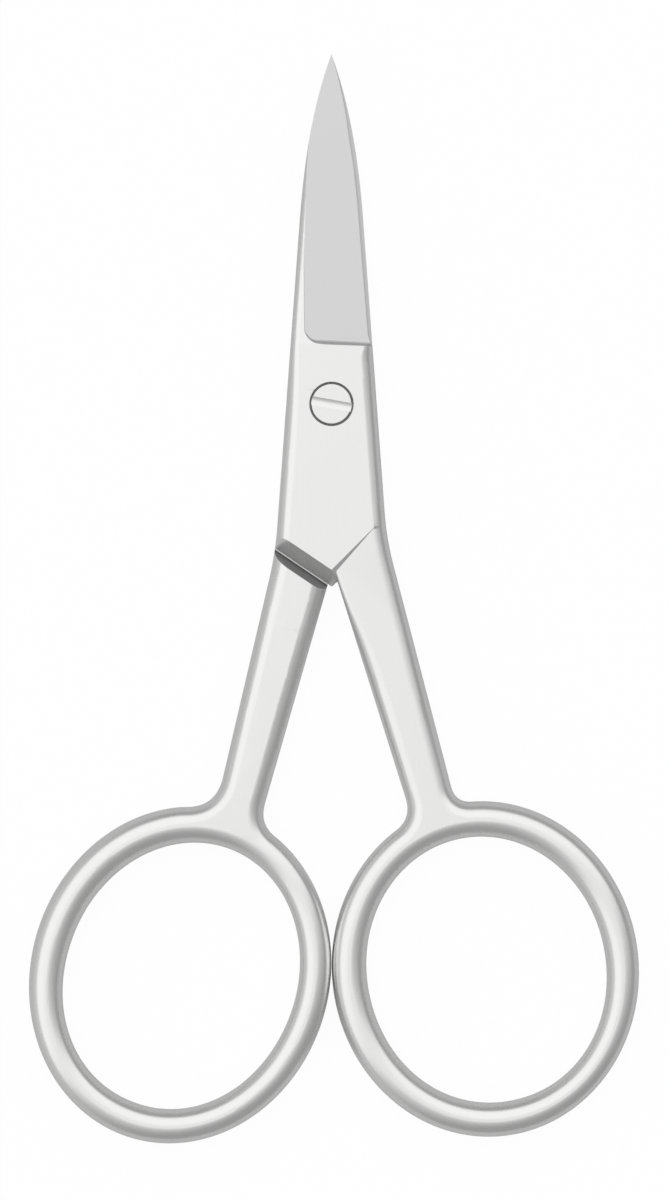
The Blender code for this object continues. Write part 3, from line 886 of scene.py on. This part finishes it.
class Value:
    """A shader socket on which Python's operators lay Math nodes."""

    def __init__(self, shader, socket):
        self.shader = shader
        self.socket = socket

    def math(self, operation, *others):
        return self.shader.node("ShaderNodeMath", {"operation": operation}, (self, *others))

    def __add__(self, other):
        return self.math("ADD", other)

    def __radd__(self, other):
        return self.math("ADD", other)

    def __sub__(self, other):
        return self.math("SUBTRACT", other)

    def __rsub__(self, other):
        return self.shader.node("ShaderNodeMath", {"operation": "SUBTRACT"}, (other, self))

    def __mul__(self, other):
        return self.math("MULTIPLY", other)

    def __rmul__(self, other):
        return self.math("MULTIPLY", other)


class Shader:
    """The nodes of one material or world."""

    def __init__(self, owner):
        owner.use_nodes = True
        self.tree = owner.node_tree
        self.tree.nodes.clear()

    def node(self, kind, settings=None, inputs=(), output=0):
        """Adds a node with its settings and inputs, and gives one of its outputs."""
        node = self.tree.nodes.new(kind)
        for name, value in (settings or {}).items():
            setattr(node, name, value)
        pairs = inputs.items() if isinstance(inputs, dict) else enumerate(inputs)
        for name, value in pairs:
            if isinstance(value, Value):
                self.tree.links.new(value.socket, node.inputs[name])
            elif value is not None:
                node.inputs[name].default_value = value
        return Value(self, node.outputs[output]) if node.outputs else None

    def mix_colours(self, factor, first, second):
        """Mixes two colours. The node's colours are its inputs 6 and 7 and its output 2."""
        return self.node("ShaderNodeMix", {"data_type": "RGBA"},
                         {0: factor, 6: first, 7: second}, output=2)

    def smooth(self, value, edges, low, high):
        """Passes smoothly from a low to a high number as a value crosses two edges."""
        return self.node("ShaderNodeMapRange", {"interpolation_type": "SMOOTHSTEP"}, {
            "Value": value, "From Min": edges[0], "From Max": edges[1],
            "To Min": low, "To Max": high})


def opaque(colour, factor=1.0):
    """A colour, darkened by a factor, with the fourth number that sockets want."""
    return (colour[0] * factor, colour[1] * factor, colour[2] * factor, 1.0)


def steel(name, colour, roughness, grain, lengthwise):
    """Steel with fine brushing lines, a soft cloudiness and tiny marks."""
    material = bpy.data.materials.new(name)
    shader = Shader(material)
    place = shader.node("ShaderNodeTexCoord", output="Object")
    stretched = shader.node("ShaderNodeMapping", inputs={"Vector": place, "Scale": lengthwise})
    lines = shader.node("ShaderNodeTexNoise", inputs={
        "Vector": stretched, "Scale": 1.0, "Detail": 1.0, "Roughness": 0.5})
    clouds = shader.node("ShaderNodeTexNoise", inputs={
        "Vector": place, "Scale": CLOUD_SCALE, "Detail": 2.0, "Roughness": 0.5})
    fine = shader.node("ShaderNodeTexNoise", inputs={
        "Vector": place, "Scale": FINE_SCALE, "Detail": 2.0, "Roughness": 0.5})
    shade = SHADE_LINES * lines + SHADE_CLOUDS * clouds
    base = shader.mix_colours(shade, opaque(colour, DARKEST), opaque(colour))
    rough = roughness - ROUGH_DROP + ROUGH_LINES * lines + ROUGH_CLOUDS * clouds
    height = lines + FINE_HEIGHT * fine
    bump = shader.node("ShaderNodeBump", inputs={
        "Strength": 1.0, "Distance": grain, "Height": height})
    surface = shader.node("ShaderNodeBsdfPrincipled", inputs={
        "Base Color": base, "Metallic": 1.0, "Roughness": rough, "Normal": bump})
    shader.node("ShaderNodeOutputMaterial", inputs={"Surface": surface})
    return material


def steels(context):
    """The five finishes, made once and kept by name.

    Each has its colour, its roughness and how close its lines lie along X, Y and Z.
    """
    finish = context.scene.scissors_finish
    grain = finish.grain
    wanted = {
        "satin steel": (finish.steel_colour, finish.steel_roughness, (1000, 20, 1000)),
        "ground steel": (finish.ground_colour, finish.ground_roughness, (700, 9000, 700)),
        # The lapped steel is darkened as painted shade on the inner faces and the grind's run-out
        "lapped steel with painted shade": (finish.lapped_painted_shade_colour, INNER_ROUGHNESS, (700, 9000, 9000)),
        # The milled steel is darkened as painted shade in the gap round the screw's head, the holes
        # and the shoulders
        "milled steel with painted shade": (finish.milled_painted_shade_colour, INNER_ROUGHNESS, (700, 9000, 9000)),
        "screw steel": (finish.screw_colour, finish.steel_roughness, (1000, 200, 1000)),
    }
    made = {}
    for name, (colour, roughness, scale) in wanted.items():
        found = bpy.data.materials.get(name)
        made[name] = found or steel(name, colour, roughness, grain, scale)
    return made


def make_half(context, name, ring_values, matrix, holes):
    """One half of the scissors from its two blanks, ground, lapped and drilled."""
    form = context.scene.scissors_form
    materials = steels(context)
    half = finished(handle_blank(ring_values, form), name)
    half.data.materials.append(materials["satin steel"])
    join(half, "UNION", plate_blank(form))
    # The lap's cut takes the lapped and milled steels, painted shade on the inner face and in the
    # shoulder's recess
    join(half, "DIFFERENCE", lap_cutter(), (materials["lapped steel with painted shade"], materials["milled steel with painted shade"]))
    # The grind's run-out takes the lapped steel, painted shade in the run-out
    join(half, "DIFFERENCE", ground_cutter(form),
         (materials["ground steel"], materials["lapped steel with painted shade"]))
    # The holes take the milled steel, painted shade in the gap round the screw
    for hole in holes:
        join(half, "DIFFERENCE", hole, (materials["milled steel with painted shade"],))
    settle(half, name, matrix)
    return half


class SCISSORS_OT_front_half(bpy.types.Operator):
    """Models the front half, which the screw's head sits in"""

    bl_idname = "scissors.front_half"
    bl_label = "Front half"
    bl_options = {"REGISTER", "UNDO"}

    def execute(self, context):
        seat_floor = PLATE_TOP - HEAD_INSET - HEAD_HEIGHT - SEAT_CLEARANCE
        holes = [
            bore(BEARING_RADIUS + BEARING_CLEARANCE, -CUT, CUT),
            bore(HEAD_RADIUS + HEAD_CLEARANCE, seat_floor, CUT, SEAT_EDGE, PLATE_TOP),
        ]
        place = Matrix.Translation((0, 0, PLATE_TOP))
        half = make_half(context, "front_half_steel", FRONT_RING, place, holes)
        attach(half, "front")
        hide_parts("front_half")
        return {"FINISHED"}


class SCISSORS_OT_rear_half(bpy.types.Operator):
    """Models the rear half, which the screw is threaded into"""

    bl_idname = "scissors.rear_half"
    bl_label = "Rear half"
    bl_options = {"REGISTER", "UNDO"}

    def execute(self, context):
        holes = [bore(THREAD_RADIUS + THREAD_CLEARANCE, -CUT, CUT)]
        place = Matrix.Translation((0, 0, PLATE_TOP)) @ Matrix.Rotation(math.pi, 4, "Y")
        half = make_half(context, "rear_half_steel", REAR_RING, place, holes)
        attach(half, "rear")
        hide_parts("rear_half")
        return {"FINISHED"}


class SCISSORS_OT_pivot_screw(bpy.types.Operator):
    """Models the slotted pivot screw"""

    bl_idname = "scissors.pivot_screw"
    bl_label = "Pivot screw"
    bl_options = {"REGISTER", "UNDO"}

    def execute(self, context):
        top = 2 * PLATE_TOP - HEAD_INSET
        profile = [(0.0, top)] + rounded_corner(HEAD_RADIUS, top, HEAD_EDGE)
        profile += [
            (HEAD_RADIUS, top - HEAD_HEIGHT),
            (BEARING_RADIUS, top - HEAD_HEIGHT),
            (BEARING_RADIUS, PLATE_TOP),
            (THREAD_RADIUS, PLATE_TOP),
            (THREAD_RADIUS, END_CHAMFER),
            (THREAD_RADIUS - END_CHAMFER, 0.0),
            (0.0, 0.0),
        ]
        screw = finished(turned(profile), "pivot_screw_steel")
        screw.data.materials.append(steels(context)["screw steel"])
        hollow = context.scene.scissors_form.slot_hollow
        join(screw, "DIFFERENCE", slot_cutter(hollow, top))
        settle(screw, "pivot_screw_steel", Matrix.Identity(4))
        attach(screw, "rear")
        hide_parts("pivot_screw")
        return {"FINISHED"}


def studio_sky(studio):
    """Soft light from overhead and the picture's upper left, with darker walls below it."""
    world = bpy.data.worlds.new("studio light")
    bpy.context.scene.world = world
    shader = Shader(world)
    heading = shader.node("ShaderNodeTexCoord", output="Generated")
    across = shader.node("ShaderNodeSeparateXYZ", inputs=(heading,), output="X")
    height = shader.node("ShaderNodeSeparateXYZ", inputs=(heading,), output="Z")
    lit = shader.node("ShaderNodeVectorMath", {"operation": "DOT_PRODUCT"},
                      (heading, LIGHT_WAY), output="Value")
    panel = shader.smooth(lit, PANEL_EDGE, studio.sky_middle, studio.sky_bright)
    fall = shader.smooth(lit, FALL_EDGE, studio.sky_middle - studio.sky_dark, 0.0)
    inside = shader.smooth(height, WALL_TOP, 0.0, 1.0)
    wall = studio.sky_dark + shader.smooth(across, LEFT_WALL, LEFT_WALL_BRIGHT, 0.0)
    amount = wall + (panel - fall - wall) * inside
    rays = shader.node("ShaderNodeLightPath", output="Is Camera Ray")
    soft = shader.node("ShaderNodeBackground", inputs={"Color": WHITE, "Strength": amount})
    white = shader.node("ShaderNodeBackground", inputs={"Color": WHITE, "Strength": 1.0})
    surface = shader.node("ShaderNodeMixShader", inputs=(rays, soft, white))
    shader.node("ShaderNodeOutputWorld", inputs={"Surface": surface})


def studio_floor(studio):
    """A wide pale floor that shows white and keeps a faint shadow."""
    work = bmesh.new()
    bmesh.ops.create_grid(work, x_segments=1, y_segments=1, size=FLOOR_REACH)
    bmesh.ops.translate(work, verts=work.verts, vec=(0, 0, -FLOOR_DROP))
    floor = finished(work, "studio_floor")
    material = bpy.data.materials.new("studio floor")
    shader = Shader(material)
    matte = shader.node("ShaderNodeBsdfDiffuse", inputs={"Color": opaque(studio.floor_colour)})
    glow = shader.node("ShaderNodeEmission", inputs={"Color": WHITE, "Strength": FLOOR_GLOW})
    camera_rays = shader.node("ShaderNodeLightPath", output="Is Camera Ray")
    glossy_rays = shader.node("ShaderNodeLightPath", output="Is Glossy Ray")
    clear_rays = shader.node("ShaderNodeLightPath", output="Is Transmission Ray")
    share = studio.floor_white * camera_rays + studio.floor_seen * glossy_rays
    share = share + studio.floor_seen * clear_rays
    surface = shader.node("ShaderNodeMixShader", inputs=(share, matte, glow))
    shader.node("ShaderNodeOutputMaterial", inputs={"Surface": surface})
    floor.data.materials.append(material)
    return floor


class SCISSORS_OT_studio(bpy.types.Operator):
    """Sets up the floor, the soft light and the camera straight above"""

    bl_idname = "scissors.studio"
    bl_label = "Studio"
    bl_options = {"REGISTER", "UNDO"}

    def execute(self, context):
        studio = context.scene.scissors_studio
        studio_sky(studio)
        studio_floor(studio)

        camera_data = bpy.data.cameras.new("camera")
        camera_data.sensor_fit = "VERTICAL"
        camera_data.sensor_height = SENSOR_HEIGHT
        camera_data.lens = studio.lens
        camera_data.clip_start = NEAREST_SEEN
        camera = bpy.data.objects.new("camera", camera_data)
        centre = Vector(studio.view_centre)
        distance = studio.view_height * studio.lens / SENSOR_HEIGHT
        camera.location = centre + Vector((0, 0, distance))
        context.scene.collection.objects.link(camera)
        context.scene.camera = camera
        context.scene.view_settings.view_transform = "Standard"
        return {"FINISHED"}


class SCISSORS_PT_panel(bpy.types.Panel):
    """Lists the pieces and their sizes and finishes"""

    bl_idname = "SCISSORS_PT_panel"
    bl_label = "Scissors"
    bl_space_type = "VIEW_3D"
    bl_region_type = "UI"
    bl_category = "Scissors"

    def draw(self, context):
        layout = self.layout
        for group in ("scissors_form", "scissors_finish", "scissors_studio"):
            values = getattr(context.scene, group)
            box = layout.box()
            for name in values.__annotations__:
                box.prop(values, name)
        for operator in OPERATORS:
            layout.operator(operator.bl_idname)


GROUPS = {
    "scissors_form": ScissorsForm,
    "scissors_finish": ScissorsFinish,
    "scissors_studio": ScissorsStudio,
}
OPERATORS = (
    SCISSORS_OT_front_half,
    SCISSORS_OT_rear_half,
    SCISSORS_OT_pivot_screw,
    SCISSORS_OT_studio,
)


def register():
    for name, group in GROUPS.items():
        bpy.utils.register_class(group)
        setattr(bpy.types.Scene, name, bpy.props.PointerProperty(type=group))
    for operator in OPERATORS:
        bpy.utils.register_class(operator)
    bpy.utils.register_class(SCISSORS_PT_panel)


def unregister():
    bpy.utils.unregister_class(SCISSORS_PT_panel)
    for operator in reversed(OPERATORS):
        bpy.utils.unregister_class(operator)
    for name, group in GROUPS.items():
        delattr(bpy.types.Scene, name)
        bpy.utils.unregister_class(group)


def main():
    register()
    bpy.ops.scissors.front_half()
    bpy.ops.scissors.rear_half()
    bpy.ops.scissors.pivot_screw()
    bpy.ops.scissors.studio()


if __name__ == "__main__":
    main()
